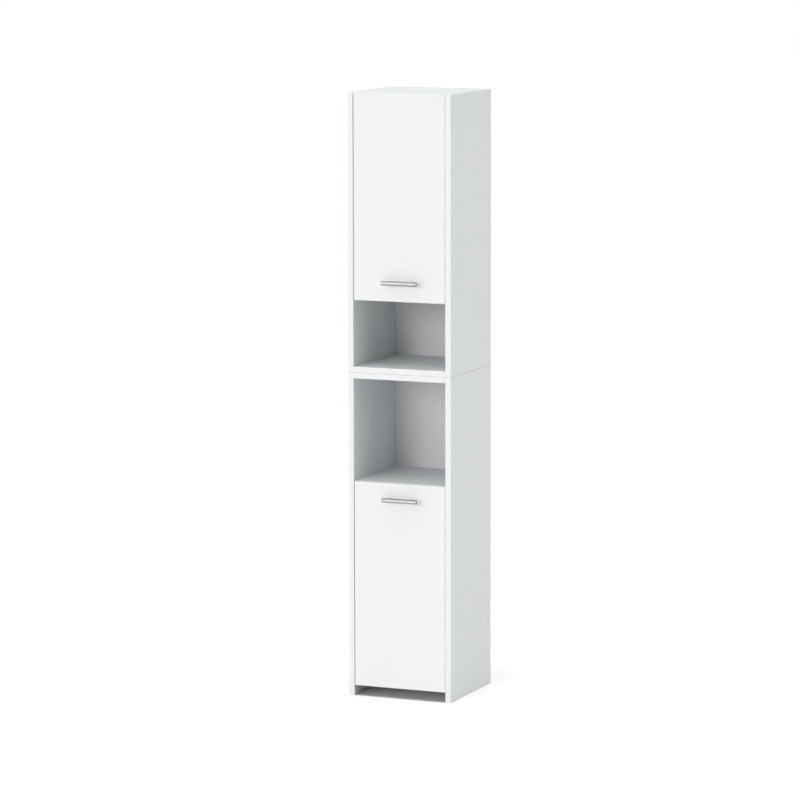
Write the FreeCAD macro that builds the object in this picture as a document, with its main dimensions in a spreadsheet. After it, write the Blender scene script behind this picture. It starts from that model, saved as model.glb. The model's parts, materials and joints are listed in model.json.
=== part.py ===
"""Tall bathroom cabinet of white faced chipboard, 300 x 290 x 1644 mm.

Two open-backed carcasses stand on each other. Each has a cupboard behind an inset door and an
open niche beside the seam. Both doors hang on concealed cup hinges on the left side.

X runs to the right, Y to the back and Z up. The origin is on the floor, in the middle of the
cabinet's whole outline, handles and back panel included. Lengths are in millimetres.
"""
import FreeCAD, Part
import os
import re
import Sketcher

SIZES = {
    # carcass
    "cabinet_width": 300,
    "side_depth": 290,
    "board_thickness": 16,
    "lower_unit_height": 888,
    "upper_unit_height": 756,
    "toe_gap": 27.5,
    "back_thickness": 3,
    "back_inset": 1.5,
    "band_round": 0.8,
    # doors
    "door_thickness": 16,
    "lower_door_height": 563.5,
    "upper_door_height": 559,
    "hinge_side_gap": 2,
    "closing_side_gap": 0.6,
    "bumper_gap": 2,
    "bumper_radius": 4,
    "bumper_inset": 20,
    "bumper_play": 0.2,
    # loose shelves and their pegs
    "shelf_side_gap": 0.75,
    "shelf_setback": 40,
    "shelf_back_gap": 2,
    "lower_shelf_level": 301,
    "upper_shelf_level": 1356,
    "peg_radius": 2.5,
    "peg_depth": 9,
    "peg_collar_radius": 3.5,
    "peg_collar_length": 7,
    "peg_edge_distance": 60,
    "peg_pitch": 32,
    # cam fasteners and dowels between boards and sides
    "fit_gap": 0.05,
    "hole_spare": 0.3,
    "cam_radius": 7.5,
    "cam_depth": 12.5,
    "cam_distance": 24,
    "cam_front_depth": 50,
    "cam_back_inset": 40,
    "cam_slot_length": 9,
    "cam_slot_width": 1.6,
    "cam_slot_depth": 2.5,
    "bolt_thread_radius": 2.5,
    "bolt_thread_length": 11,
    "bolt_shank_radius": 2.9,
    "bolt_head_radius": 3.4,
    "bolt_head_length": 4,
    "bolt_channel_radius": 3.7,
    "dowel_radius": 4,
    "dowel_side_length": 9,
    "dowel_board_length": 20,
    "dowel_distance": 32,
    # nails of the back panels
    "nail_radius": 0.7,
    "nail_length": 22,
    "nail_head_radius": 2,
    "nail_head_height": 0.8,
    "nail_edge_distance": 30,
    # screws between the two carcasses
    "joining_screw_radius": 2,
    "joining_screw_length": 27,
    "joining_screw_side_distance": 60,
    # bracket against tipping
    "bracket_leg": 32,
    "bracket_width": 22,
    "bracket_thickness": 2,
    "bracket_hole_radius": 2.75,
    "bracket_hole_drop": 20,
    "bracket_screw_spacing": 11,
    "back_hole_radius": 5,
    # bar handles
    "handle_length": 102,
    "handle_radius": 6,
    "handle_offset": 22,
    "handle_shift": 8.5,
    "handle_end_round": 0.6,
    "handle_post_radius": 3,
    "handle_post_spacing": 64,
    "handle_screw_radius": 2,
    "handle_screw_grip": 6,
    "lower_handle_drop": 43.5,
    "upper_handle_rise": 51.5,
    # hinges
    "hinge_end_distance": 90,
    "cup_edge_distance": 3,
    "cup_radius": 17.5,
    "cup_wall": 0.8,
    "cup_floor": 0.7,
    "cup_depth": 11.5,
    "flange_radius": 18.5,
    "flange_thickness": 0.8,
    "wing_width": 15,
    "wing_span": 57,
    "cup_screw_offset": 9.5,
    "cup_screw_spacing": 45,
    "pivot_radius": 0.9,
    "pivot_gap": 0.03,
    "pivot_depth": 7.5,
    "cup_pivot_distance": 15.5,
    "cup_pivot_half_length": 15.4,
    "cup_notch_depth": 2.5,
    "cup_notch_reach": 1,
    "link_length": 20.5,
    "link_eye_radius": 2,
    "link_width": 3,
    "link_thickness": 6,
    "arm_nose_radius": 2.1,
    "arm_nose_width": 9.4,
    "arm_slot_width": 6.2,
    "arm_slot_spare": 1,
    "arm_knee_depth": 19,
    "arm_crank_depth": 44,
    "arm_web_thickness": 1.5,
    "arm_rear_width": 17.4,
    "arm_rear_length": 53,
    "arm_cheek_height": 5.5,
    "arm_knee_offset": 1.5,
    "arm_heel_offset": 4,
    "plate_height": 9,
    "plate_bar_width": 14,
    "plate_front_depth": 50,
    "plate_bar_length": 46,
    "wing_thickness": 2.2,
    "wing_length": 44,
    "wing_depth": 12,
    "plate_screw_depth": 56,
    "plate_screw_spacing": 32,
    "adjuster_depth": 62,
    "arm_screw_depth": 84,
    # chipboard screws and machine screws
    "wood_screw_radius": 1.75,
    "wood_screw_length": 12,
    "machine_screw_length": 6.5,
    "screw_head_radius": 3.5,
    "screw_crown_radius": 2.45,
    "screw_head_height": 1.8,
    "recess_half_length": 1.75,
    "recess_half_width": 0.42,
    "recess_floor_height": 0.72,
}
NAILS_PER_SIDE = 6
PEG_ROWS = 5
NO_LENGTH = 0.001

os.makedirs("parts", exist_ok=True)
doc = FreeCAD.newDocument("tall_bathroom_cabinet")
sheet = doc.addObject("Spreadsheet::Sheet", "sizes")
for row, (alias, value) in enumerate(SIZES.items(), start=1):
    sheet.set(f"A{row}", alias.replace("_", " "))
    sheet.set(f"B{row}", str(value))
    sheet.setAlias(f"B{row}", alias)
doc.recompute()

finished = []

# Places that several pieces share, as formulas of the sheet's values.
FRONT = ("((handle_offset + handle_radius - side_depth - back_thickness"
         " - nail_head_height) / 2)")
BACK = f"({FRONT} + side_depth)"
LEFT_FACE = "(board_thickness - cabinet_width / 2)"
RIGHT_FACE = "(cabinet_width / 2 - board_thickness)"
SEAM = "lower_unit_height"
TOP = "(lower_unit_height + upper_unit_height)"
BEHIND_DOOR = f"({FRONT} + door_thickness + bumper_gap)"
LOWER_DOOR_TOP = "(toe_gap + lower_door_height)"
UPPER_DOOR_BOTTOM = f"({TOP} - upper_door_height)"
HALF_BOARD = "(board_thickness / 2)"
HANDLE_X = "handle_shift"
BAR_Y = f"({FRONT} - handle_offset)"
CUP_X = "(hinge_side_gap + cup_edge_distance + cup_radius)"
ARM_PIVOT_X = "(cup_pivot_distance + link_length)"

# Unit name: boards as (name, underside, front, which face holds the cams), shelf level,
# door from and to, handle height, foot and head of the sides, foot of the back panel.
UNITS = {
    "lower": {
        "boards": [("bottom_board", "toe_gap", BEHIND_DOOR, -1),
                   ("niche_floor", f"({LOWER_DOOR_TOP} - board_thickness)", BEHIND_DOOR, -1),
                   ("top_board", f"({SEAM} - board_thickness)", FRONT, 1)],
        "shelf": "lower_shelf_level",
        "door": ("toe_gap", LOWER_DOOR_TOP),
        "handle": f"({LOWER_DOOR_TOP} - lower_handle_drop)",
        "side": ("0", SEAM),
        "back_foot": "(toe_gap + back_inset)",
        "bumpers": ("bottom_board", "niche_floor"),
    },
    "upper": {
        "boards": [("bottom_board", SEAM, FRONT, -1),
                   ("cupboard_floor", UPPER_DOOR_BOTTOM, BEHIND_DOOR, 1),
                   ("top_board", f"({TOP} - board_thickness)", BEHIND_DOOR, -1)],
        "shelf": "upper_shelf_level",
        "door": (UPPER_DOOR_BOTTOM, TOP),
        "handle": f"({UPPER_DOOR_BOTTOM} + upper_handle_rise)",
        "side": (SEAM, TOP),
        "back_foot": f"({SEAM} + back_inset)",
        "bumpers": ("cupboard_floor", "top_board"),
    },
}

TURNS = {
    "X": FreeCAD.Rotation(FreeCAD.Vector(0, 1, 0), 90),
    "Y": FreeCAD.Rotation(FreeCAD.Vector(1, 0, 0), -90),
    "-Y": FreeCAD.Rotation(FreeCAD.Vector(1, 0, 0), 90),
    "Z": FreeCAD.Rotation(),
    "-Z": FreeCAD.Rotation(FreeCAD.Vector(1, 0, 0), 180),
    "-X": FreeCAD.Rotation(FreeCAD.Vector(0, 1, 0), -90),
    "half turn": FreeCAD.Rotation(FreeCAD.Vector(0, 0, 1), 180),
    "over": FreeCAD.Rotation(FreeCAD.Vector(1, 0, 0), 180),
    "over and half turn": FreeCAD.Rotation(FreeCAD.Vector(0, 1, 0), 180),
}


def formula(text):
    """Point every size named in a formula at its cell of the sheet."""
    return re.sub(r"[a-z][a-z_]+", lambda word: "sizes." + word.group(), str(text))


def bind(target, **lengths):
    for name, text in lengths.items():
        target.setExpression(name, formula(text))


def put(target, x, y, z, turn="Z"):
    """Give an object its turn, and bind its place to the sheet."""
    target.Placement = FreeCAD.Placement(FreeCAD.Vector(), TURNS[turn])
    for axis, text in (("x", x), ("y", y), ("z", z)):
        target.setExpression(f"Placement.Base.{axis}", formula(text))
    return target


def box(name, x, y, z):
    """A box from pairs of formulas: its low and high side along each axis."""
    made = doc.addObject("Part::Box", name)
    bind(made, Length=f"({x[1]}) - ({x[0]})", Width=f"({y[1]}) - ({y[0]})",
         Height=f"({z[1]}) - ({z[0]})")
    return put(made, x[0], y[0], z[0])


def rod(name, radius, length, x, y, z, turn):
    """A round bar that starts at a point and runs along an axis."""
    made = doc.addObject("Part::Cylinder", name)
    bind(made, Radius=radius, Height=length)
    return put(made, x, y, z, turn)


def fuse(name, *pieces):
    made = doc.addObject("Part::MultiFuse", name)
    made.Shapes = list(pieces)
    return made


def group(name, pieces):
    made = doc.addObject("Part::Compound", name)
    made.Links = list(pieces)
    return made


def cut(name, base, *tools):
    made = doc.addObject("Part::Cut", name)
    made.Base = base
    made.Tool = tools[0] if len(tools) == 1 else group(name + "_tools", tools)
    return made


def copies(name, master, places):
    """Separate copies of one piece, each at (x, y, z, turn)."""
    links = []
    for number, (x, y, z, turn) in enumerate(places, start=1):
        link = doc.addObject("App::Link", f"{name}_{number}")
        link.LinkedObject = master
        links.append(put(link, x, y, z, turn))
    return group(name, links)


def finish(label, piece):
    """Name a finished sub-part, which is written to its own file."""
    piece.Label = label
    finished.append(piece)
    return piece


def rounded_board(name, x, y, z, rounded):
    """A board with its banded edges rounded: those for which rounded(edge) is true."""
    body = doc.addObject("PartDesign::Body", name)
    block = body.newObject("PartDesign::AdditiveBox", name + "_block")
    bind(block, Length=f"({x[1]}) - ({x[0]})", Width=f"({y[1]}) - ({y[0]})",
         Height=f"({z[1]}) - ({z[0]})")
    doc.recompute()
    band = body.newObject("PartDesign::Fillet", name + "_band")
    chosen = [f"Edge{number}" for number, edge in enumerate(block.Shape.Edges, start=1)
              if rounded(edge.BoundBox)]
    band.Base = (block, chosen)
    bind(band, Radius="band_round")
    body.Tip = band
    return put(body, x[0], y[0], z[0])


def edges_but_the_back(limits):
    return limits.YMin < NO_LENGTH


def front_edges_along(limits):
    return limits.YMax < NO_LENGTH < limits.XLength


def every_edge(limits):
    return True


def present(text):
    """The present value of a formula, in millimetres."""
    probe = doc.addObject("Part::Vertex", "probe")
    bind(probe, X=text)
    probe.recompute()
    value = probe.X.Value
    doc.removeObject(probe.Name)
    return value


def profile(name, corners, half_width):
    """A flat outline in X and Y, its corners bound to the sheet, padded both ways along Z."""
    body = doc.addObject("PartDesign::Body", name)
    plane = next(item for item in body.Origin.OriginFeatures if item.Role == "XY_Plane")
    sketch = body.newObject("Sketcher::SketchObject", name + "_outline")
    sketch.AttachmentSupport = [(plane, "")]
    sketch.MapMode = "FlatFace"
    points = [FreeCAD.Vector(present(x), present(y), 0) for x, y in corners]
    for start, end in zip(points, points[1:] + points[:1]):
        sketch.addGeometry(Part.LineSegment(start, end))
    for number, (x, y) in enumerate(corners):
        before = (number - 1) % len(corners)
        sketch.addConstraint(Sketcher.Constraint("Coincident", before, 2, number, 1))
        for kind, text, value in (("DistanceX", x, points[number].x),
                                  ("DistanceY", y, points[number].y)):
            place = sketch.addConstraint(Sketcher.Constraint(kind, -1, 1, number, 1, value))
            sketch.setExpression(f"Constraints[{place}]", formula(text))
    pad = body.newObject("PartDesign::Pad", name + "_pad")
    pad.Profile = sketch
    pad.Midplane = True
    bind(pad, Length=f"2 * ({half_width})")
    return body


def screw(name, radius, length):
    """A screw with its head seated at the origin and its shank pointing up Z."""
    shank = rod(name + "_shank", radius, length, 0, 0, 0, "Z")
    head = doc.addObject("Part::Cone", name + "_head")
    bind(head, Radius1="screw_head_radius", Radius2="screw_crown_radius",
         Height="screw_head_height")
    put(head, 0, 0, 0, "-Z")
    reach = ("-recess_half_length", "recess_half_length")
    breadth = ("-recess_half_width", "recess_half_width")
    depth = ("-screw_head_height - hole_spare", "-recess_floor_height")
    across = box(name + "_recess_x", reach, breadth, depth)
    along = box(name + "_recess_y", breadth, reach, depth)
    return cut(name, fuse(name + "_blank", shank, head), fuse(name + "_recess", across, along))


# --- fasteners that repeat, each modelled once -------------------------------------------

# Joint fasteners start on a side's inner face and point along X, into the board.
cam_bolt = fuse(
    "cam_bolt",
    rod("cam_bolt_thread", "bolt_thread_radius", "bolt_thread_length",
        "-bolt_thread_length", 0, 0, "X"),
    rod("cam_bolt_shank", "bolt_shank_radius", "cam_distance - bolt_head_length", 0, 0, 0, "X"),
    rod("cam_bolt_head", "bolt_head_radius", "bolt_head_length",
        "cam_distance - bolt_head_length", 0, 0, "X"))

cam_lock = cut(
    "cam_lock",
    rod("cam_body", "cam_radius", "cam_depth", "cam_distance", 0, f"-{HALF_BOARD}", "Z"),
    rod("cam_mouth", "bolt_channel_radius", "cam_radius + hole_spare",
        "cam_distance - cam_radius", 0, 0, "X"),
    box("cam_slot",
        ("cam_distance - cam_slot_length / 2", "cam_distance + cam_slot_length / 2"),
        ("-cam_slot_width / 2", "cam_slot_width / 2"),
        (f"-{HALF_BOARD} - hole_spare", f"-{HALF_BOARD} + cam_slot_depth")))

cam_hole = fuse(
    "cam_hole",
    rod("cam_pocket", "cam_radius + fit_gap", "cam_depth + 2 * hole_spare",
        "cam_distance", 0, f"-{HALF_BOARD} - hole_spare", "Z"),
    rod("cam_channel", "bolt_channel_radius", "cam_distance + hole_spare",
        "-hole_spare", 0, 0, "X"))

bolt_hole = group("bolt_hole", [
    rod("bolt_thread_hole", "bolt_thread_radius + fit_gap", "bolt_thread_length + 2 * hole_spare",
        "-bolt_thread_length - hole_spare", 0, 0, "X")])

dowel = group("dowel", [
    rod("dowel_rod", "dowel_radius", "dowel_side_length + dowel_board_length",
        "-dowel_side_length", 0, 0, "X")])

dowel_hole = group("dowel_hole", [
    rod("dowel_drilling", "dowel_radius + fit_gap",
        "dowel_side_length + dowel_board_length + 2 * hole_spare",
        "-dowel_side_length - hole_spare", 0, 0, "X")])

peg = fuse(
    "peg",
    rod("peg_shaft", "peg_radius", "peg_depth", "-peg_depth", 0, 0, "X"),
    rod("peg_collar", "peg_collar_radius", "peg_collar_length", 0, 0, 0, "X"))

peg_hole = group("peg_hole", [
    rod("peg_drilling", "peg_radius + fit_gap", "peg_depth + 2 * hole_spare",
        "-peg_depth - hole_spare", 0, 0, "X")])

# A nail starts on the back panel's outer face and points forwards.
nail = fuse(
    "nail",
    rod("nail_shank", "nail_radius", "nail_length", 0, 0, 0, "-Y"),
    rod("nail_head", "nail_head_radius", "nail_head_height", 0, 0, 0, "Y"))

nail_hole = group("nail_hole", [
    rod("nail_drilling", "nail_radius + fit_gap", "nail_length + 2 * hole_spare",
        0, "hole_spare", 0, "-Y")])

wood_screw = screw("wood_screw", "wood_screw_radius", "wood_screw_length")
machine_screw = screw("machine_screw", "handle_screw_radius", "machine_screw_length")
handle_screw = screw("handle_screw", "handle_screw_radius", "door_thickness + handle_screw_grip")
joining_screw = screw("joining_screw", "joining_screw_radius", "joining_screw_length")

wood_screw_hole = group("wood_screw_hole", [
    rod("wood_screw_drilling", "wood_screw_radius + fit_gap",
        "wood_screw_length + 2 * hole_spare", 0, 0, "-hole_spare", "Z")])

handle_screw_hole = group("handle_screw_hole", [
    rod("handle_screw_drilling", "handle_screw_radius + fit_gap",
        "door_thickness + handle_screw_grip + 2 * hole_spare", 0, 0, "-hole_spare", "Z")])

joining_screw_hole = group("joining_screw_hole", [
    rod("joining_screw_drilling", "joining_screw_radius + fit_gap",
        "joining_screw_length + 2 * hole_spare", 0, 0, "-hole_spare", "Z")])


# --- one hinge, measured from the left side's inner face and the doors' front ------------

cup_low = "(door_thickness - cup_depth)"
cup_screw_x = f"({CUP_X} + cup_screw_offset)"
wing_screw_places = [(cup_screw_x, "door_thickness + flange_thickness",
                      f"{sign} * cup_screw_spacing / 2", "-Y") for sign in (-1, 1)]
hinge_cup = cut(
    "hinge_cup",
    fuse("cup_blank",
         rod("cup_outside", "cup_radius", "cup_depth", CUP_X, cup_low, 0, "Y"),
         rod("cup_flange", "flange_radius", "flange_thickness", CUP_X, "door_thickness", 0, "Y"),
         box("cup_wings",
             (f"{cup_screw_x} - wing_width / 2", f"{cup_screw_x} + wing_width / 2"),
             ("door_thickness", "door_thickness + flange_thickness"),
             ("-wing_span / 2", "wing_span / 2"))),
    fuse("cup_inside",
         rod("cup_hollow", "cup_radius - cup_wall", "cup_depth + flange_thickness",
             CUP_X, f"{cup_low} + cup_floor", 0, "Y"),
         rod("cup_pivot_hole", "pivot_radius + fit_gap",
             "2 * (cup_pivot_half_length + fit_gap)", "cup_pivot_distance", "pivot_depth",
             "-cup_pivot_half_length - fit_gap", "Z"),
         box("cup_notch",
             (f"{CUP_X} - flange_radius - hole_spare",
              f"{CUP_X} - cup_radius + cup_wall + cup_notch_reach"),
             ("door_thickness - cup_notch_depth", "door_thickness + flange_thickness + hole_spare"),
             ("-arm_slot_width / 2", "arm_slot_width / 2"))),
    copies("wing_hole", wood_screw_hole, wing_screw_places))

cup_bore = group("cup_bore", [
    rod("cup_drilling", "cup_radius + fit_gap", "cup_depth + 2 * hole_spare",
        CUP_X, f"{cup_low} - hole_spare", 0, "Y"),
    copies("cup_screw_pilot", wood_screw_hole, wing_screw_places)])

cup_screws = copies("cup_screw", wood_screw, wing_screw_places)

cup_pivot = group("cup_pivot", [
    rod("cup_pivot_rod", "pivot_radius", "2 * cup_pivot_half_length",
        "cup_pivot_distance", "pivot_depth", "-cup_pivot_half_length", "Z")])

link_low = "-link_thickness / 2"
hinge_link = cut(
    "hinge_link",
    fuse("link_blank",
         rod("link_cup_eye", "link_eye_radius", "link_thickness",
             "cup_pivot_distance", "pivot_depth", link_low, "Z"),
         rod("link_arm_eye", "link_eye_radius", "link_thickness",
             ARM_PIVOT_X, "pivot_depth", link_low, "Z"),
         box("link_web", ("cup_pivot_distance", ARM_PIVOT_X),
             ("pivot_depth - link_width / 2", "pivot_depth + link_width / 2"),
             (link_low, "link_thickness / 2"))),
    rod("link_cup_hole", "pivot_radius + pivot_gap", "link_thickness + 2 * hole_spare",
        "cup_pivot_distance", "pivot_depth", f"{link_low} - hole_spare", "Z"),
    rod("link_arm_hole", "pivot_radius + pivot_gap", "link_thickness + 2 * hole_spare",
        ARM_PIVOT_X, "pivot_depth", f"{link_low} - hole_spare", "Z"))

nose_left = f"({ARM_PIVOT_X} - arm_nose_radius)"
nose_right = f"({ARM_PIVOT_X} + arm_nose_radius)"
web_top = "(plate_height + arm_web_thickness)"
arm_end = "(arm_crank_depth + arm_rear_length)"
arm_screw_places = [(web_top, depth, 0, "-X") for depth in ("adjuster_depth", "arm_screw_depth")]
machine_screw_hole = group("machine_screw_hole", [
    rod("machine_screw_drilling", "handle_screw_radius + fit_gap",
        "machine_screw_length + 2 * hole_spare", 0, 0, "-hole_spare", "Z")])
hinge_arm = cut(
    "hinge_arm",
    fuse("arm_blank",
         profile("arm_crank", [
             (nose_left, "pivot_depth"),
             (nose_left, "arm_knee_depth"),
             ("plate_height", "arm_crank_depth"),
             ("plate_height", "plate_screw_depth"),
             (web_top, "plate_screw_depth"),
             (web_top, "arm_crank_depth + arm_heel_offset"),
             (nose_right, "arm_knee_depth + arm_knee_offset"),
             (nose_right, "pivot_depth")], "arm_nose_width / 2"),
         rod("arm_nose", "arm_nose_radius", "arm_nose_width",
             ARM_PIVOT_X, "pivot_depth", "-arm_nose_width / 2", "Z"),
         box("arm_web", ("plate_height", web_top), ("arm_crank_depth", arm_end),
             ("-arm_rear_width / 2", "arm_rear_width / 2")),
         box("arm_cheek_low", ("plate_height - arm_cheek_height", "plate_height"),
             ("arm_crank_depth", arm_end),
             ("-arm_rear_width / 2", "-arm_rear_width / 2 + arm_web_thickness")),
         box("arm_cheek_high", ("plate_height - arm_cheek_height", "plate_height"),
             ("arm_crank_depth", arm_end),
             ("arm_rear_width / 2 - arm_web_thickness", "arm_rear_width / 2"))),
    box("arm_slot", (f"{nose_left} - hole_spare", f"{nose_right} + hole_spare"),
        ("pivot_depth - arm_nose_radius - hole_spare", "pivot_depth + link_eye_radius + arm_slot_spare"),
        ("-arm_slot_width / 2", "arm_slot_width / 2")),
    rod("arm_pivot_hole", "pivot_radius + fit_gap", "arm_nose_width + 2 * hole_spare",
        ARM_PIVOT_X, "pivot_depth", "-arm_nose_width / 2 - hole_spare", "Z"),
    copies("arm_screw_hole", machine_screw_hole, arm_screw_places))

arm_pivot = group("arm_pivot", [
    rod("arm_pivot_rod", "pivot_radius", "arm_nose_width",
        ARM_PIVOT_X, "pivot_depth", "-arm_nose_width / 2", "Z")])

arm_screws = copies("arm_screw", machine_screw, arm_screw_places)

plate_screw_places = [("wing_thickness", "plate_screw_depth",
                       f"{sign} * plate_screw_spacing / 2", "-X") for sign in (-1, 1)]
mounting_plate = cut(
    "mounting_plate",
    fuse("plate_blank",
         box("plate_bar", (0, "plate_height"),
             ("plate_front_depth", "plate_front_depth + plate_bar_length"),
             ("-plate_bar_width / 2", "plate_bar_width / 2")),
         box("plate_wing", (0, "wing_thickness"),
             ("plate_screw_depth - wing_depth / 2", "plate_screw_depth + wing_depth / 2"),
             ("-wing_length / 2", "wing_length / 2"))),
    copies("plate_wing_hole", wood_screw_hole, plate_screw_places),
    copies("plate_bar_hole", machine_screw_hole, arm_screw_places))

plate_screws = copies("plate_screw", wood_screw, plate_screw_places)
plate_pilots = copies("plate_pilot", wood_screw_hole, plate_screw_places)


# --- carcasses ---------------------------------------------------------------------------

SIDES = {"left": (LEFT_FACE, "Z", "over"), "right": (RIGHT_FACE, "half turn",
                                                     "over and half turn")}
CAM_DEPTHS = [f"{FRONT} + cam_front_depth", f"{BACK} - cam_back_inset"]
DOWEL_DEPTHS = [f"{FRONT} + cam_front_depth + dowel_distance",
                f"{BACK} - cam_back_inset - dowel_distance"]
PEG_DEPTHS = [f"{FRONT} + peg_edge_distance", f"{BACK} - peg_edge_distance"]
JOINING_PLACES = [(f"{sign} * (cabinet_width / 2 - joining_screw_side_distance)", depth,
                   f"{SEAM} - board_thickness", "Z")
                  for sign in (-1, 1) for depth in PEG_DEPTHS]
NAIL_Y = f"({BACK} + back_thickness)"
BRACKET_TOP = f"({TOP} - board_thickness)"
BRACKET_HOLE_Z = f"({BRACKET_TOP} - bracket_hole_drop)"
BRACKET_SCREWS = [(f"{sign} * bracket_screw_spacing / 2", f"{BACK} - bracket_leg / 2",
                   f"{BRACKET_TOP} - bracket_thickness", "Z") for sign in (-1, 1)]


def joints(boards, side, depths):
    """Where fasteners sit between one side and its boards."""
    face, plain, over = SIDES[side]
    return [(face, depth, f"{underside} + {HALF_BOARD}", plain if cams < 0 else over)
            for _, underside, _, cams in boards for depth in depths]


def hinge_places(plan):
    bottom, top = plan["door"]
    return [(LEFT_FACE, FRONT, height, "Z")
            for height in (f"{bottom} + hinge_end_distance", f"{top} - hinge_end_distance")]


def side_nails(plan, side):
    """The nails of the back panel along one side, evenly spaced."""
    sign = -1 if side == "left" else 1
    foot, head = plan["back_foot"], plan["side"][1]
    return [(f"{sign} * (cabinet_width / 2 - {HALF_BOARD})", NAIL_Y,
             f"{foot} + nail_edge_distance + ({head} - {foot} - 2 * nail_edge_distance)"
             f" * {number} / {NAILS_PER_SIDE - 1}", "Z") for number in range(NAILS_PER_SIDE)]


def peg_z(plan):
    return f"({plan['shelf']} - peg_collar_radius - fit_gap)"


def side_panel(unit, plan, side):
    face, plain, _ = SIDES[side]
    outer = "cabinet_width / 2"
    span = (f"-({outer})", face) if side == "left" else (face, outer)
    name = f"{unit}_{side}_side"
    panel = rounded_board(name + "_board", span, (FRONT, BACK), plan["side"], edges_but_the_back)
    rows = [f"{peg_z(plan)} + peg_pitch * {row - PEG_ROWS // 2}" for row in range(PEG_ROWS)]
    tools = [
        copies(name + "_bolt_hole", bolt_hole, joints(plan["boards"], side, CAM_DEPTHS)),
        copies(name + "_dowel_hole", dowel_hole, joints(plan["boards"], side, DOWEL_DEPTHS)),
        copies(name + "_peg_hole", peg_hole,
               [(face, depth, row, plain) for depth in PEG_DEPTHS for row in rows]),
        copies(name + "_nail_hole", nail_hole, side_nails(plan, side))]
    if side == "left":
        tools.append(copies(name + "_pilot", plate_pilots, hinge_places(plan)))
    finish(name, cut(name, panel, *tools))


def carcass_board(unit, plan, entry):
    """A fixed board between the sides, with its cam pockets, dowel holes and nail hole."""
    board_name, underside, front, _ = entry
    name = f"{unit}_{board_name}"
    board = rounded_board(name + "_blank", (LEFT_FACE, RIGHT_FACE), (front, BACK),
                          (underside, f"{underside} + board_thickness"), front_edges_along)
    tools = [copies(f"{name}_{side}_{kind}", master, joints([entry], side, depths))
             for side in SIDES
             for kind, master, depths in (("cam_hole", cam_hole, CAM_DEPTHS),
                                          ("dowel_hole", dowel_hole, DOWEL_DEPTHS))]
    tools.append(copies(name + "_nail_hole", nail_hole, board_nails([entry])))
    if board_name == "top_board" and unit == "upper":
        tools.append(copies(name + "_bracket_hole", wood_screw_hole, BRACKET_SCREWS))
    elif SEAM in underside:
        tools.append(copies(name + "_joining_hole", joining_screw_hole, JOINING_PLACES))
    finish(name, cut(name, board, *tools))


def board_nails(boards):
    return [(0, NAIL_Y, f"{underside} + {HALF_BOARD}", "Z") for _, underside, _, _ in boards]


def back_panel(unit, plan, places):
    name = f"{unit}_back_panel"
    sheet_board = box(
        name + "_sheet", ("back_inset - cabinet_width / 2", "cabinet_width / 2 - back_inset"),
        (BACK, NAIL_Y), (plan["back_foot"], f"{plan['side'][1]} - back_inset"))
    tools = [copies(name + "_nail_hole", nail_hole, places)]
    if unit == "upper":
        tools.append(rod(name + "_wall_hole", "back_hole_radius",
                         "back_thickness + 2 * hole_spare", 0, f"{BACK} - hole_spare",
                         BRACKET_HOLE_Z, "Y"))
    finish(name, cut(name, sheet_board, *tools))


def loose_shelf(unit, plan):
    level = plan["shelf"]
    shelf = rounded_board(
        f"{unit}_shelf", (f"{LEFT_FACE} + shelf_side_gap", f"{RIGHT_FACE} - shelf_side_gap"),
        (f"{FRONT} + shelf_setback", f"{BACK} - shelf_back_gap"),
        (level, f"{level} + board_thickness"), front_edges_along)
    finish(f"{unit}_shelf", shelf)
    places = [(face, depth, peg_z(plan), plain)
              for face, plain, _ in SIDES.values() for depth in PEG_DEPTHS]
    finish(f"{unit}_shelf_pegs", copies(f"{unit}_shelf_pegs", peg, places))


def door_bumpers(unit, plan):
    pads = [rod(f"{unit}_bumper_{name}", "bumper_radius", "bumper_gap - bumper_play",
                f"{RIGHT_FACE} - bumper_inset", BEHIND_DOOR, f"{underside} + {HALF_BOARD}", "-Y")
            for name, underside, _, _ in plan["boards"] if name in plan["bumpers"]]
    finish(f"{unit}_door_bumpers", group(f"{unit}_door_bumpers", pads))


def carcass(unit, plan):
    boards = plan["boards"]
    for side in SIDES:
        side_panel(unit, plan, side)
    for entry in boards:
        carcass_board(unit, plan, entry)
    nails = [place for side in SIDES for place in side_nails(plan, side)] + board_nails(boards)
    back_panel(unit, plan, nails)
    loose_shelf(unit, plan)
    cams = [place for side in SIDES for place in joints(boards, side, CAM_DEPTHS)]
    dowels = [place for side in SIDES for place in joints(boards, side, DOWEL_DEPTHS)]
    for label, master, places in (("cam_locks", cam_lock, cams), ("cam_bolts", cam_bolt, cams),
                                  ("dowels", dowel, dowels), ("back_nails", nail, nails)):
        finish(f"{unit}_{label}", copies(f"{unit}_{label}", master, places))
    door_bumpers(unit, plan)


# --- doors, handles and hinges -----------------------------------------------------------

def door(unit, plan):
    bottom, top = plan["door"]
    name = f"{unit}_door"
    panel = rounded_board(
        name + "_board", (f"{LEFT_FACE} + hinge_side_gap", f"{RIGHT_FACE} - closing_side_gap"),
        (FRONT, f"{FRONT} + door_thickness"), (bottom, top), every_edge)
    finish(name, cut(name, panel,
                     copies(name + "_cup_bore", cup_bore, hinge_places(plan)),
                     copies(name + "_screw_hole", handle_screw_hole, handle_places(plan))))


def handle_places(plan):
    """The heads of the handle's screws, on the back of the door."""
    return [(f"{HANDLE_X} + {sign} * handle_post_spacing / 2", f"{FRONT} + door_thickness",
             plan["handle"], "-Y") for sign in (-1, 1)]


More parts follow.
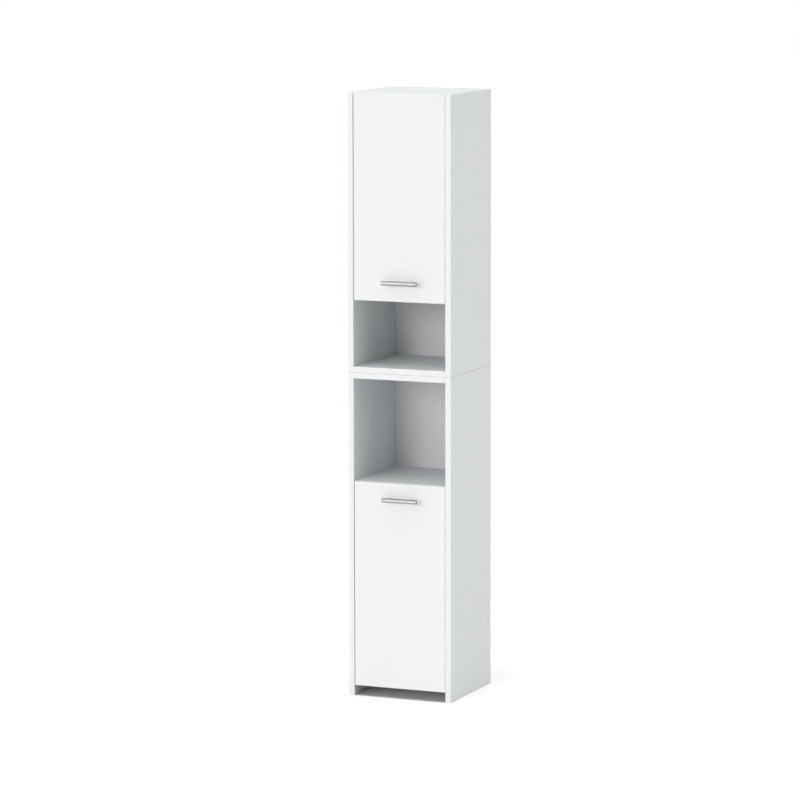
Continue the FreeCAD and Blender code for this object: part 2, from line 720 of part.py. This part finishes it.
def rounded_bar(name, plan):
    body = doc.addObject("PartDesign::Body", name)
    bar = body.newObject("PartDesign::AdditiveCylinder", name + "_rod")
    bind(bar, Radius="handle_radius", Height="handle_length")
    doc.recompute()
    ends = body.newObject("PartDesign::Fillet", name + "_ends")
    ends.Base = (bar, [f"Edge{number}" for number, edge in enumerate(bar.Shape.Edges, start=1)
                       if edge.BoundBox.ZLength < NO_LENGTH])
    bind(ends, Radius="handle_end_round")
    body.Tip = ends
    return put(body, f"{HANDLE_X} - handle_length / 2", BAR_Y, plan["handle"], "X")


def handle(unit, plan):
    name = f"{unit}_handle_bar"
    finish(name, rounded_bar(name, plan))
    posts = []
    for number, (x, _, z, _) in enumerate(handle_places(plan), start=1):
        post = rod(f"{unit}_post_rod_{number}", "handle_post_radius", "handle_offset",
                   x, BAR_Y, z, "Y")
        seat = rod(f"{unit}_post_seat_{number}", "handle_radius", "4 * handle_post_radius",
                   f"{x} - 2 * handle_post_radius", BAR_Y, z, "X")
        thread = rod(f"{unit}_post_thread_{number}", "handle_screw_radius + fit_gap",
                     "handle_screw_grip + 2 * hole_spare", x, f"{FRONT} + hole_spare", z, "-Y")
        posts.append(cut(f"{unit}_post_{number}", post, seat, thread))
    finish(f"{unit}_handle_posts", group(f"{unit}_handle_posts", posts))
    finish(f"{unit}_handle_screws",
           copies(f"{unit}_handle_screws", handle_screw, handle_places(plan)))


def hinges(unit, plan):
    for label, master in (("hinge_cups", hinge_cup), ("cup_screws", cup_screws),
                          ("cup_pivots", cup_pivot), ("hinge_links", hinge_link),
                          ("hinge_arms", hinge_arm), ("arm_pivots", arm_pivot),
                          ("arm_screws", arm_screws), ("mounting_plates", mounting_plate),
                          ("plate_screws", plate_screws)):
        finish(f"{unit}_{label}", copies(f"{unit}_{label}", master, hinge_places(plan)))


def wall_bracket():
    """An angle under the top board that takes a screw through the back into the wall."""
    half = "bracket_width / 2"
    legs = fuse(
        "bracket_legs",
        box("bracket_top_leg", (f"-{half}", half), (f"{BACK} - bracket_leg", BACK),
            (f"{BRACKET_TOP} - bracket_thickness", BRACKET_TOP)),
        box("bracket_wall_leg", (f"-{half}", half), (f"{BACK} - bracket_thickness", BACK),
            (f"{BRACKET_TOP} - bracket_leg", BRACKET_TOP)))
    hole = rod("bracket_hole", "bracket_hole_radius", "bracket_thickness + 2 * hole_spare",
               0, f"{BACK} - bracket_thickness - hole_spare", BRACKET_HOLE_Z, "Y")
    screw_holes = copies("bracket_screw_hole", wood_screw_hole, BRACKET_SCREWS)
    finish("wall_bracket", cut("wall_bracket", legs, hole, screw_holes))
    finish("wall_bracket_screws", copies("wall_bracket_screws", wood_screw, BRACKET_SCREWS))


for unit_name, unit_plan in UNITS.items():
    carcass(unit_name, unit_plan)
    door(unit_name, unit_plan)
    handle(unit_name, unit_plan)
    hinges(unit_name, unit_plan)
wall_bracket()
finish("joining_screws", copies("joining_screws", joining_screw, JOINING_PLACES))

doc.recompute()
for item in doc.Objects:
    if "Invalid" in item.State or "Error" in item.State:
        raise RuntimeError(f"{item.Label} failed: {item.State}")
for piece in finished:
    if piece.Shape.isNull() or not piece.Shape.isValid() or not piece.Shape.Solids:
        raise RuntimeError(f"{piece.Label} has no valid solid")
for piece in finished:
    piece.Shape.exportStep(f"parts/{piece.Label}.step")
print(len(finished), "sub-parts written")
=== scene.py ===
import json
import math

import bpy
import bmesh
from mathutils import Matrix, Vector


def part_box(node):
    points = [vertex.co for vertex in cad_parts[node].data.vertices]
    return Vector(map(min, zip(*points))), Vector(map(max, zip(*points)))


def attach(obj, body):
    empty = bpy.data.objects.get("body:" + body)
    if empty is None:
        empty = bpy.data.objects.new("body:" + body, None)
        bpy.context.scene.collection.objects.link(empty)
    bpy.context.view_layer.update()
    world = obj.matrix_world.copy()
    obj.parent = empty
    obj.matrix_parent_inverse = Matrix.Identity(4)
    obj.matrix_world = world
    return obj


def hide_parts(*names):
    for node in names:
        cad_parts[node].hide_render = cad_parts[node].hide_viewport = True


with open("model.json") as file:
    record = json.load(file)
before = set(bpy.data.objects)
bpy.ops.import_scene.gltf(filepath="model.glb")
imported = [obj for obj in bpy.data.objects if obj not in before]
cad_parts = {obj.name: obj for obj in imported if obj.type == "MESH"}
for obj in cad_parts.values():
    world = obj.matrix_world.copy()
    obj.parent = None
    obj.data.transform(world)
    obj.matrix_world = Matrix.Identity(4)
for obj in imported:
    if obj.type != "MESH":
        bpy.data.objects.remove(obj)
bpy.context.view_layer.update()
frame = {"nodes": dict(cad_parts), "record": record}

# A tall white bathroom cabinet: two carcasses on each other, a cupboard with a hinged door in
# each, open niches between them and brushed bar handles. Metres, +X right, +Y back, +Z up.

MM = 0.001
ALL_FACES = ("-X", "+X", "-Y", "+Y", "-Z", "+Z")

# The view of the photograph.
CAMERA_PLACE = (4.23864, -10.09846, 2.32174)
CAMERA_YAW = math.radians(23.0297)
CAMERA_PITCH = math.radians(7.8956)
CAMERA_ROLL = math.radians(-0.1120)
QUARTER_TURN = math.radians(90)
LENS_MM = 182.836
SENSOR_MM = 36.0
FARTHEST_SEEN = 200

# Colours as linear light.
DOOR_WHITE = (0.74, 0.755, 0.765, 1)
BOARD_WHITE = (0.682, 0.703, 0.708, 1)
BACK_WHITE = (0.764, 0.75, 0.771, 1)
BAND_WHITE = (0.73, 0.745, 0.755, 1)
GLUE_LINE = (0.60, 0.59, 0.56, 1)
# The dark grey of the seam between the two carcasses is painted shade, where the groove would be
# shaded.
JOINT_PAINTED_SHADE = (0.34, 0.35, 0.35, 1)
CHIP_PALE = (0.62, 0.46, 0.29, 1)
CHIP_DARK = (0.36, 0.22, 0.11, 1)
HARDBOARD = (0.30, 0.17, 0.08, 1)
HARDBOARD_PALE = (0.42, 0.26, 0.13, 1)
BRUSHED = (0.40, 0.40, 0.41, 1)
NICKEL = (0.66, 0.63, 0.58, 1)
NICKEL_DULL = (0.594, 0.567, 0.522, 1)
ZINC = (0.58, 0.60, 0.63, 1)
ZINC_YELLOWED = (0.56, 0.54, 0.46, 1)
CASTING = (0.42, 0.42, 0.43, 1)
BEECH_PALE = (0.70, 0.50, 0.30, 1)
BEECH_DARK = (0.50, 0.32, 0.17, 1)
CLEAR_RUBBER = (0.80, 0.80, 0.78, 1)
FLOOR_PALE = (0.86, 0.86, 0.86, 1)
# The grey of the toe space is a painted shadow on the floor under the cabinet.
FLOOR_TOE_PAINTED_SHADOW = (0.50, 0.49, 0.475, 1)
WHITE_LIGHT = (1, 1, 1, 1)
NO_LIGHT = (0, 0, 0, 1)
CLOUD_SHARE = 0.985
BRUSH_SHARE = 0.86

# Where on a noise the darker tone ends and the lighter one is reached.
SOFT_TONES = (0.2, 0.8)
CLEAR_TONES = (0.3, 0.7)
CRISP_TONES = (0.35, 0.65)
CHIP_CONTRAST = 0.6
FIBRE_SHARE = 0.7

# The boards: how deep their facing and edge bands go, and the lines that show on them: the glue line
# of a band, and a painted shade line in the seam between the carcasses.
FACING = 0.3 * MM
FACING_BLUR = (0.9 * FACING, 1.1 * FACING)
BAND = 0.8 * MM
GLUE_WIDTH = 0.12 * MM
JOINT_WIDTH = 0.45 * MM
LACQUER = 0.2 * MM
LACQUER_END = 0.3 * MM

# Roughness and gloss, and what a pattern or a raw place adds to the roughness.
MELAMINE_ROUGH = 0.55
MELAMINE_GLOSS = 0.3
PEARL_ROUGH = 0.08
CHIP_ROUGH = 0.3
SATIN_ROUGH = 0.06
FIBRE_ROUGH = 0.25
BRUSHED_ROUGH = 0.24
LINES_ROUGH = 0.12
WEAR_ROUGH = 0.06
PLATED_GRAIN_ROUGH = 0.1
BEECH_ROUGH = 0.6
BEECH_GRAIN_ROUGH = 0.1
BUMPER_ROUGH = 0.25
BUMPER_DUST_ROUGH = 0.2
BUMPER_CLEARNESS = 0.6
BUMPER_IOR = 1.45
FLOOR_ROUGH = 0.9
FLOOR_GRAIN_ROUGH = 0.05

# How deep the relief of each finish goes. Chips and fibres stand out by a multiple of it.
MELAMINE_RELIEF = 0.02 * MM
CHIP_RELIEF = 3.0
FIBRE_RELIEF = 4.0
BRUSHED_RELIEF = 0.01 * MM
PLATED_RELIEF = 0.005 * MM
BEECH_RELIEF = 0.05 * MM

# Patterns as cells in a metre, by axis where they are drawn out along one.
CHIPS = 650.0
CHIPS_LIE_FLAT = (1, 1, 2)
CHIP_DUST = 2600.0
CHIP_TOOTH = 1800.0
PEARL = 900.0
CLOUDS = 6.0
FIBRES = 700.0
BLOTCHES = 25.0
SATIN = 1200.0
WEAR = 60.0
PLATING_CLOUDS = 120.0
BUMPER_DUST = 400.0
FLOOR_GRAIN = 300.0
LINES_ALONG_X = (60, 3500, 3500)
LINES_ALONG_Y = (3500, 60, 3500)
BEECH_GRAIN = (60, 900, 900)

# The handle bars. The rings near the ends keep the shading straight between them.
BAR_SIDES = 72
BAR_RING = 1.4 * MM
BAR_CHAMFER = 0.5 * MM
BAR_CHAMFER_STEPS = 3
BAR_DISH = 0.15 * MM
BAR_SMOOTH = math.radians(35)
FACES_X = 0.9

# The light: sky from above and three wide lamps, two in front and one on the right. Of each
# lamp: name, azimuth, elevation, spread and strength.
SKY_ABOVE = 2.05
SUNS = (("key", -10, 12, 20, 0.79), ("fill", -40, 8, 40, 0.91), ("side", 95, 20, 60, 0.70))

# The floor: how far it is lifted towards white beside the cabinet, its size, how softly the footprint
# ends, and how deep the painted shadow in the toe space goes.
FLOOR_LIFT = 0.15
FLOOR_SIZE = 60
FOOTPRINT_EDGE = 2 * MM
TOE_SHADE_DEPTH = 90 * MM


class Value:
    """An output of a shader node, on which Python's operators add Math nodes."""

    def __init__(self, finish, socket):
        self.finish = finish
        self.socket = socket

    def maths(self, operation, other=0.0):
        return self.finish.maths(operation, self, other)

    def __add__(self, other):
        return self.finish.maths("ADD", self, other)

    def __radd__(self, other):
        return self.finish.maths("ADD", other, self)

    def __sub__(self, other):
        return self.finish.maths("SUBTRACT", self, other)

    def __rsub__(self, other):
        return self.finish.maths("SUBTRACT", other, self)

    def __mul__(self, other):
        return self.finish.maths("MULTIPLY", self, other)

    def __rmul__(self, other):
        return self.finish.maths("MULTIPLY", other, self)

    def __lt__(self, other):
        return self.finish.maths("LESS_THAN", self, other)


class Finish:
    """A material or a world made of nodes, which all come from node()."""

    def __init__(self, owner, place="Object"):
        self.owner = owner
        owner.use_nodes = True
        self.tree = owner.node_tree
        self.tree.nodes.clear()
        self.place = self.node("ShaderNodeTexCoord", output=place)

    def node(self, kind, settings=None, inputs=None, output=0):
        """Adds one node: first its settings, then the values or links of its sockets."""
        made = self.tree.nodes.new(kind)
        for name, setting in (settings or {}).items():
            setattr(made, name, setting)
        for name, value in (inputs or {}).items():
            if isinstance(value, Value):
                self.tree.links.new(value.socket, made.inputs[name])
            else:
                made.inputs[name].default_value = value
        return Value(self, made.outputs[output]) if made.outputs else None

    def finish_with(self, shader, output="ShaderNodeOutputMaterial"):
        """Ends the nodes in an output, and gives back their material or world."""
        self.node(output, inputs={"Surface": shader})
        return self.owner

    def maths(self, operation, first, second):
        return self.node("ShaderNodeMath", {"operation": operation}, {0: first, 1: second})

    def along(self, axis):
        """The place on the object along one axis."""
        return self.node("ShaderNodeSeparateXYZ", inputs={"Vector": self.place}, output=axis)

    def stretched(self, scale):
        """The place on the object, in metres, stretched by a scale for each axis."""
        return self.node("ShaderNodeMapping", inputs={"Vector": self.place, "Scale": scale})

    def noise(self, scale, detail=2.0, stretch=(1, 1, 1), roughness=0.5):
        return self.node("ShaderNodeTexNoise", inputs={
            "Vector": self.stretched(stretch), "Scale": scale, "Detail": detail,
            "Roughness": roughness})

    def steps(self, value, low, high):
        """0 below low, 1 above high and a straight slope between them."""
        return self.node("ShaderNodeMapRange", inputs={
            "Value": value, "From Min": low, "From Max": high})

    def mix(self, mask, low, high):
        """A colour between low and high, by a mask."""
        return self.node("ShaderNodeMix", {"data_type": "RGBA"}, {0: mask, 6: low, 7: high}, output=2)

    def line(self, distance, width, colour, ground):
        """A thin line of a colour on a ground, where a distance is near 0."""
        off_line = self.steps(distance.maths("ABSOLUTE"), width / 2, width)
        return self.mix(off_line, colour, ground)

    def bump(self, height, distance):
        return self.node("ShaderNodeBump", inputs={"Height": height, "Distance": distance})

    def surface(self, **inputs):
        """Ends the material in a Principled BSDF. Underscores in names stand for spaces."""
        named = {name.replace("_", " "): value for name, value in inputs.items()}
        return self.finish_with(self.node("ShaderNodeBsdfPrincipled", inputs=named))


def new_finish(name):
    return Finish(bpy.data.materials.new(name))


def darker(colour, share):
    """A colour with only a share of its light."""
    return tuple(share * part for part in colour[:3]) + (1,)


# ---------------------------------------------------------------- finishes

def chipboard(finish):
    """Pressed wood chips, as the bores and the raw edges of the boards show them."""
    chips = finish.node("ShaderNodeTexVoronoi", inputs={
        "Vector": finish.stretched(CHIPS_LIE_FLAT), "Scale": CHIPS})
    dust = finish.noise(CHIP_DUST, detail=3.0)
    grain = finish.steps((chips + dust) * CHIP_CONTRAST, *SOFT_TONES)
    return finish.mix(grain, CHIP_DARK, CHIP_PALE)


def depth_behind(finish, node, faces):
    """How deep a place lies behind the nearest of the named faces of a node's box."""
    low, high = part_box(node)
    depths = []
    for side, axis in faces:
        index = "XYZ".index(axis)
        place = finish.along(axis)
        depths.append(place - low[index] if side == "-" else high[index] - place)
    nearest = depths[0]
    for depth in depths[1:]:
        nearest = nearest.maths("MINIMUM", depth)
    return nearest


def faced_board(node, raw_faces, banded_faces, white):
    """White melamine on chipboard for one board, with glued bands on its seen edges."""
    finish = new_finish(node)
    faced = [face for face in ALL_FACES if face not in raw_faces]
    raw = finish.steps(depth_behind(finish, node, faced), *FACING_BLUR)
    pearl = finish.noise(PEARL)
    clouds = finish.steps(finish.noise(CLOUDS, detail=3.0), *CLEAR_TONES)
    tone = finish.mix(clouds, darker(white, CLOUD_SHARE), white)
    band_depth = depth_behind(finish, node, banded_faces)
    banded = finish.mix(band_depth < BAND, tone, BAND_WHITE)
    glued = finish.line(band_depth - BAND, GLUE_WIDTH, GLUE_LINE, banded)
    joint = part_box("lower_left_side")[1].z
    # Painted shade: a dark line along the seam between the lower and the upper carcass.
    seam_painted_shade = finish.line(finish.along("Z") - joint, JOINT_WIDTH, JOINT_PAINTED_SHADE, glued)
    relief = pearl * (1 - raw) + finish.noise(CHIP_TOOTH) * raw * CHIP_RELIEF
    return finish.surface(Base_Color=finish.mix(raw, seam_painted_shade, chipboard(finish)),
                          Roughness=MELAMINE_ROUGH + PEARL_ROUGH * pearl + raw * CHIP_ROUGH,
                          Specular_IOR_Level=MELAMINE_GLOSS,
                          Normal=finish.bump(relief, MELAMINE_RELIEF))


def hardboard(node):
    """The back panel: white lacquer towards the room, bare brown fibres behind."""
    finish = new_finish("fibre_back")
    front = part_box(node)[0].y
    bare = finish.steps(finish.along("Y") - front, LACQUER, LACQUER_END)
    fibres = finish.noise(FIBRES, detail=6.0, roughness=0.7)
    blotches = finish.noise(BLOTCHES, detail=4.0)
    mottling = fibres * FIBRE_SHARE + blotches * (1 - FIBRE_SHARE)
    brown = finish.mix(finish.steps(mottling, *CRISP_TONES), HARDBOARD, HARDBOARD_PALE)
    satin = finish.noise(SATIN)
    relief = satin * (1 - bare) + fibres * bare * FIBRE_RELIEF
    return finish.surface(Base_Color=finish.mix(bare, BACK_WHITE, brown),
                          Roughness=MELAMINE_ROUGH + satin * SATIN_ROUGH + bare * FIBRE_ROUGH,
                          Specular_IOR_Level=MELAMINE_GLOSS,
                          Normal=finish.bump(relief, MELAMINE_RELIEF))


def brushed_metal(name, stretch):
    """Fine lines, drawn out along the axis whose stretch is small."""
    finish = new_finish(name)
    lines = finish.noise(1.0, detail=4.0, stretch=stretch, roughness=0.7)
    wear = finish.noise(WEAR, detail=3.0)
    tone = finish.mix(finish.steps(lines, *CRISP_TONES), darker(BRUSHED, BRUSH_SHARE), BRUSHED)
    return finish.surface(Base_Color=tone, Metallic=1.0,
                          Roughness=BRUSHED_ROUGH + lines * LINES_ROUGH + wear * WEAR_ROUGH,
                          Normal=finish.bump(lines, BRUSHED_RELIEF))


def plated(name, colour, second, roughness, grain):
    """Plated or cast metal: two tones in clouds, with a fine grain."""
    finish = new_finish(name)
    clouds = finish.steps(finish.noise(PLATING_CLOUDS, detail=4.0), *SOFT_TONES)
    fine = finish.noise(grain, detail=3.0)
    return finish.surface(Base_Color=finish.mix(clouds, second, colour), Metallic=1.0,
                          Roughness=roughness + fine * PLATED_GRAIN_ROUGH,
                          Normal=finish.bump(fine, PLATED_RELIEF))


def beech():
    finish = new_finish("beech_dowel")
    grain = finish.noise(1.0, detail=5.0, stretch=BEECH_GRAIN)
    tone = finish.mix(finish.steps(grain, *CLEAR_TONES), BEECH_DARK, BEECH_PALE)
    return finish.surface(Base_Color=tone, Roughness=BEECH_ROUGH + grain * BEECH_GRAIN_ROUGH,
                          Normal=finish.bump(grain, BEECH_RELIEF))


def clear_rubber():
    finish = new_finish("clear_bumper")
    dust = finish.noise(BUMPER_DUST, detail=3.0)
    return finish.surface(Base_Color=CLEAR_RUBBER, Roughness=BUMPER_ROUGH + dust * BUMPER_DUST_ROUGH,
                          Transmission_Weight=BUMPER_CLEARNESS, IOR=BUMPER_IOR)


def dress_nodes():
    """Gives each CAD node the finish of its slot. A board has a finish of its own, made to its
    box, because its facing and bands are measured from its faces."""
    shared = {
        "brushed_handle": brushed_metal("turned_post", LINES_ALONG_Y),
        "nickel_plate": plated("nickel", NICKEL, NICKEL_DULL, roughness=0.22, grain=900.0),
        "zinc_plate": plated("zinc_sheet", ZINC, ZINC_YELLOWED, roughness=0.35, grain=500.0),
        "zinc_casting": plated("zinc_casting", CASTING, ZINC, roughness=0.5, grain=1500.0),
        "screw_steel": plated("zinc_screw", ZINC, ZINC_YELLOWED, roughness=0.3, grain=1200.0),
        "beech": beech(),
        "clear_rubber": clear_rubber(),
        "white_back": hardboard("lower_back_panel"),
    }
    for part in frame["record"]["subparts"]:
        node, slot = part["node"], part["material_slot"]
        if slot in shared:
            material = shared[slot]
        elif slot == "white_door":
            material = faced_board(node, (), ("-X", "+X", "-Z", "+Z"), DOOR_WHITE)
        elif node.endswith("side"):
            material = faced_board(node, ("+Y",), ("-Y",), BOARD_WHITE)
        else:
            material = faced_board(node, ("-X", "+X", "+Y"), ("-Y",), BOARD_WHITE)
        for material_slot in frame["nodes"][node].material_slots:
            material_slot.material = material


# ---------------------------------------------------------------- handle bars

def deselect():
    bpy.ops.object.select_all(action="DESELECT")


def pick_faces(mesh, chosen):
    """Selects, in edit mode, the faces for which chosen(face) is true, and nothing else."""
    for face in mesh.faces:
        face.select_set(False)
    for face in mesh.faces:
        if chosen(face):
            face.select_set(True)


def lower_handle_bar():
    """The lower door's round bar: fine chamfers and slightly dished ends."""
    low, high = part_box("lower_handle_bar")
    deselect()
    bpy.ops.mesh.primitive_cylinder_add(vertices=BAR_SIDES, radius=(high.z - low.z) / 2,
                                        depth=high.x - low.x, location=(low + high) / 2,
                                        rotation=(0, QUARTER_TURN, 0))
    bpy.ops.object.transform_apply(location=True, rotation=True, scale=True)
    bar = bpy.context.object
    bpy.ops.object.mode_set(mode="EDIT")
    bpy.ops.mesh.select_mode(type="FACE")
    for ring in (low.x + BAR_RING, high.x - BAR_RING):
        bpy.ops.mesh.select_all(action="SELECT")
        bpy.ops.mesh.bisect(plane_co=(ring, 0, 0), plane_no=(1, 0, 0))
    mesh = bmesh.from_edit_mesh(bar.data)
    pick_faces(mesh, lambda face: abs(face.normal.x) > FACES_X)
    bmesh.update_edit_mesh(bar.data)
    bpy.ops.mesh.inset(thickness=2 * BAR_CHAMFER, depth=0)
    bpy.ops.mesh.inset(thickness=BAR_CHAMFER, depth=-BAR_DISH)
    bpy.ops.object.mode_set(mode="OBJECT")
    rounding = bar.modifiers.new("rounding", "BEVEL")
    rounding.width = BAR_CHAMFER
    rounding.segments = BAR_CHAMFER_STEPS
    rounding.limit_method = "ANGLE"
    bpy.ops.object.modifier_apply(modifier=rounding.name)
    bpy.ops.object.shade_smooth_by_angle(angle=BAR_SMOOTH)
    bar.data.materials.append(brushed_metal("brushed_bar", LINES_ALONG_X))
    return bar


def upper_handle_bar(lower_bar):
    """A copy of the lower bar, with its own mesh, at the upper door's place for it."""
    bar = lower_bar.copy()
    bar.data = lower_bar.data.copy()
    further_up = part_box("upper_handle_bar")[0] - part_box("lower_handle_bar")[0]
    bar.data.transform(Matrix.Translation(further_up))
    bpy.context.scene.collection.objects.link(bar)
    return bar


def fit_bar(bar, unit):
    """Names a bar and lets it take the place of its door's CAD bar."""
    bar.name = unit + "_brushed_bar"
    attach(bar, unit + "_door")
    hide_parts(unit + "_handle_bar")


def handle_bars():
    lower_bar = lower_handle_bar()
    upper_bar = upper_handle_bar(lower_bar)
    fit_bar(lower_bar, "lower")
    fit_bar(upper_bar, "upper")


# ---------------------------------------------------------------- room

def seen_as_background(finish):
    """1 for rays from the camera, a gloss or a clear piece, and 0 for the light that falls on
    things."""
    rays = ("Is Camera Ray", "Is Glossy Ray", "Is Transmission Ray")
    camera, gloss, clear = (finish.node("ShaderNodeLightPath", output=ray) for ray in rays)
    return (camera + gloss + clear).maths("MINIMUM", 1.0)


def studio_floor():
    """A pale floor that keeps the cabinet's shadow. Beside the cabinet it is lifted towards white, and
    in the toe space it carries a painted shadow in grey, greyest at the front and back edges of the
    footprint."""
    deselect()
    bpy.ops.mesh.primitive_plane_add(size=FLOOR_SIZE)
    floor = bpy.context.object
    floor.name = "floor"
    finish = new_finish("floor")
    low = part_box("lower_left_side")[0]
    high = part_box("lower_right_side")[1]
    middle = (low + high) / 2
    half = (high - low) / 2
    beside = (finish.along("X") - middle.x).maths("ABSOLUTE") - half.x
    before = (finish.along("Y") - middle.y).maths("ABSOLUTE") - half.y
    outside = finish.steps(beside.maths("MAXIMUM", before), 0.0, FOOTPRINT_EDGE)
    # Painted shadow: the floor turns grey inside the footprint, greyest at its front and back edges.
    painted_toe_shadow = finish.steps(before, -TOE_SHADE_DEPTH, 0.0) * (1 - outside)
    grain = finish.noise(FLOOR_GRAIN)
    lifted = seen_as_background(finish) * outside
    floor.data.materials.append(finish.surface(
        Base_Color=finish.mix(painted_toe_shadow, FLOOR_PALE, FLOOR_TOE_PAINTED_SHADOW),
        Roughness=FLOOR_ROUGH + grain * FLOOR_GRAIN_ROUGH,
        Emission_Color=finish.mix(lifted, NO_LIGHT, WHITE_LIGHT), Emission_Strength=FLOOR_LIFT))


def white_world():
    """White where it is seen, and a soft light on everything, brightest from above."""
    world = bpy.data.worlds.new("studio")
    bpy.context.scene.world = world
    finish = Finish(world, place="Generated")
    seen = seen_as_background(finish)
    height = finish.along("Z").maths("MAXIMUM", 0.0)
    light = SKY_ABOVE * height * height
    lit = finish.node("ShaderNodeBackground", inputs={
        "Color": WHITE_LIGHT, "Strength": seen + (1 - seen) * light})
    finish.finish_with(lit, "ShaderNodeOutputWorld")


def soft_sun(name, azimuth, elevation, spread, strength):
    """A wide, far lamp. Azimuth 0 is in front of the cabinet, and positive is to its right."""
    around = math.radians(azimuth)
    up = math.radians(elevation)
    towards = Vector((math.sin(around) * math.cos(up), -math.cos(around) * math.cos(up), math.sin(up)))
    lamp = bpy.data.lights.new(name, "SUN")
    lamp.angle = math.radians(spread)
    lamp.energy = strength
    holder = bpy.data.objects.new(name, lamp)
    bpy.context.scene.collection.objects.link(holder)
    holder.rotation_mode = "QUATERNION"
    holder.rotation_quaternion = (-towards).to_track_quat("-Z", "Y")


def photo_camera():
    data = bpy.data.cameras.new("camera")
    data.lens = LENS_MM
    data.sensor_width = SENSOR_MM
    data.clip_end = FARTHEST_SEEN
    camera = bpy.data.objects.new("camera", data)
    bpy.context.scene.collection.objects.link(camera)
    turn = (Matrix.Rotation(CAMERA_YAW, 4, "Z") @ Matrix.Rotation(QUARTER_TURN - CAMERA_PITCH, 4, "X")
            @ Matrix.Rotation(CAMERA_ROLL, 4, "Z"))
    camera.matrix_world = Matrix.Translation(CAMERA_PLACE) @ turn
    bpy.context.scene.camera = camera


dress_nodes()
handle_bars()
studio_floor()
white_world()
for sun in SUNS:
    soft_sun(*sun)
photo_camera()
bpy.context.scene.view_settings.view_transform = "Standard"
